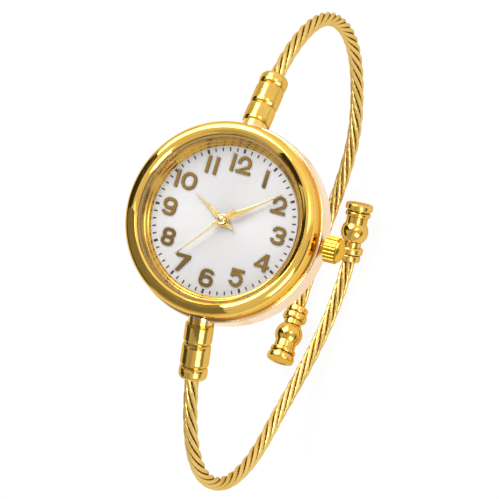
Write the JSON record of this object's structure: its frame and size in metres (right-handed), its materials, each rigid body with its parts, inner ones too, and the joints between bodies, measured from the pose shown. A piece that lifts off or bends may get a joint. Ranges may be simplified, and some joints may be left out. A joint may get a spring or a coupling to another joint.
{
  "type": "bangle watch",
  "caption": "Round quartz bangle watch: polished gold case, silver dial with raised numerals, fluted crown and an open oval cuff of twisted wire cable with turned ends.",
  "frame": {"origin": "centre of the case back's flat outer face", "axes": "+Z out of the dial, +Y to 12 o'clock along the bangle's width, +X to the crown"},
  "size_m": [0.0305, 0.0698, 0.0563],
  "materials": {
    "polished_gold": "polished",
    "satin_gold": "satin",
    "cable_gold": "satin",
    "numeral_gold": "polished",
    "glass": "polished",
    "silver_dial": "satin",
    "steel": "satin",
    "seal_rubber": "matte",
    "clear_plastic": "satin",
    "holder_plastic": "matte",
    "train_brass": "satin",
    "plate_nickel": "satin",
    "magnet": "matte",
    "copper_wire": "gloss",
    "circuit_green": "satin",
    "chip_black": "satin"
  },
  "bodies": {
    "case": {"case_middle": "satin_gold", "bezel": "polished_gold", "case_back": "steel", "case_back_gasket": "seal_rubber", "crystal": "glass", "crystal_gasket": "clear_plastic", "dial_ring": "polished_gold", "dial": "silver_dial", "dial_numerals": "numeral_gold", "crown_tube": "polished_gold", "upper_sleeve": "polished_gold", "lower_sleeve": "polished_gold", "upper_cable": "cable_gold", "lower_cable": "cable_gold", "upper_finial": "polished_gold", "lower_finial": "polished_gold", "movement_ring": "holder_plastic", "main_plate": "plate_nickel", "train_bridge": "plate_nickel", "bridge_screws": "steel", "stator": "steel", "coil_core": "steel", "coil_winding": "copper_wire", "circuit_board": "circuit_green", "quartz_can": "steel", "control_chip": "chip_black", "battery": "steel", "battery_strap": "train_brass"},
    "seconds": {"seconds_wheel": "train_brass", "second_hand": "polished_gold"},
    "minutes": {"centre_wheel": "train_brass", "minute_hand": "polished_gold"},
    "hours": {"hour_wheel": "train_brass", "hour_hand": "polished_gold"},
    "third": {"third_wheel": "train_brass"},
    "intermediate": {"intermediate_wheel": "train_brass"},
    "rotor": {"rotor": "magnet"},
    "motion_work": {"minute_wheel": "train_brass"},
    "setting_gear": {"setting_wheel": "steel"},
    "clutch": {"sliding_pinion": "steel"},
    "crown": {"crown": "polished_gold", "winding_stem": "steel", "crown_gasket": "seal_rubber"},
    "setting_lever": {"setting_lever": "steel"}
  },
  "joints": [
    {"name": "seconds_turn", "type": "hinge", "parent": "case", "child": "seconds", "pos_m": [0, 0, 0.0052], "axis": [0, 0, -1], "continuous": true},
    {"name": "minutes_turn", "type": "hinge", "parent": "case", "child": "minutes", "pos_m": [0, 0, 0.0052], "axis": [0, 0, -1], "continuous": true},
    {"name": "hours_turn", "type": "hinge", "parent": "case", "child": "hours", "pos_m": [0, 0, 0.0052], "axis": [0, 0, -1], "continuous": true},
    {"name": "third_turn", "type": "hinge", "parent": "case", "child": "third", "pos_m": [-0.00251, -0.00176, 0.0052], "axis": [0, 0, -1], "continuous": true},
    {"name": "intermediate_turn", "type": "hinge", "parent": "case", "child": "intermediate", "pos_m": [-0.00054, 0.00307, 0.0052], "axis": [0, 0, -1], "continuous": true},
    {"name": "rotor_turn", "type": "hinge", "parent": "case", "child": "rotor", "pos_m": [-0.00302, 0.00351, 0.0052], "axis": [0, 0, -1], "continuous": true},
    {"name": "motion_work_turn", "type": "hinge", "parent": "case", "child": "motion_work", "pos_m": [0.00226, 0.00082, 0.0052], "axis": [0, 0, -1], "continuous": true},
    {"name": "setting_gear_turn", "type": "hinge", "parent": "case", "child": "setting_gear", "pos_m": [0.00477, 0.00015, 0.0052], "axis": [0, 0, -1], "continuous": true},
    {"name": "crown_turn", "type": "hinge", "parent": "case", "child": "clutch", "pos_m": [0.014, 0, 0.0034], "axis": [1, 0, 0], "continuous": true},
    {"name": "crown_pull", "type": "slide", "parent": "clutch", "child": "crown", "axis": [1, 0, 0], "range_m": [0, 0.0008]},
    {"name": "setting_lever_swing", "type": "hinge", "parent": "case", "child": "setting_lever", "pos_m": [0.00807, 0.002, 0.0044], "axis": [0, 0, 1], "range_deg": [0, 23.07]}
  ],
  "couplings": [
    {"joint": "minutes_turn", "follows": "seconds_turn", "ratio": 0.016667},
    {"joint": "hours_turn", "follows": "seconds_turn", "ratio": 0.0013889},
    {"joint": "third_turn", "follows": "seconds_turn", "ratio": -0.13333},
    {"joint": "intermediate_turn", "follows": "seconds_turn", "ratio": -5},
    {"joint": "rotor_turn", "follows": "seconds_turn", "ratio": 30},
    {"joint": "motion_work_turn", "follows": "seconds_turn", "ratio": -0.0055556},
    {"joint": "setting_gear_turn", "follows": "seconds_turn", "ratio": 0.0125},
    {"joint": "setting_lever_swing", "follows": "crown_pull", "rad_per_m": 503.39}
  ]
}
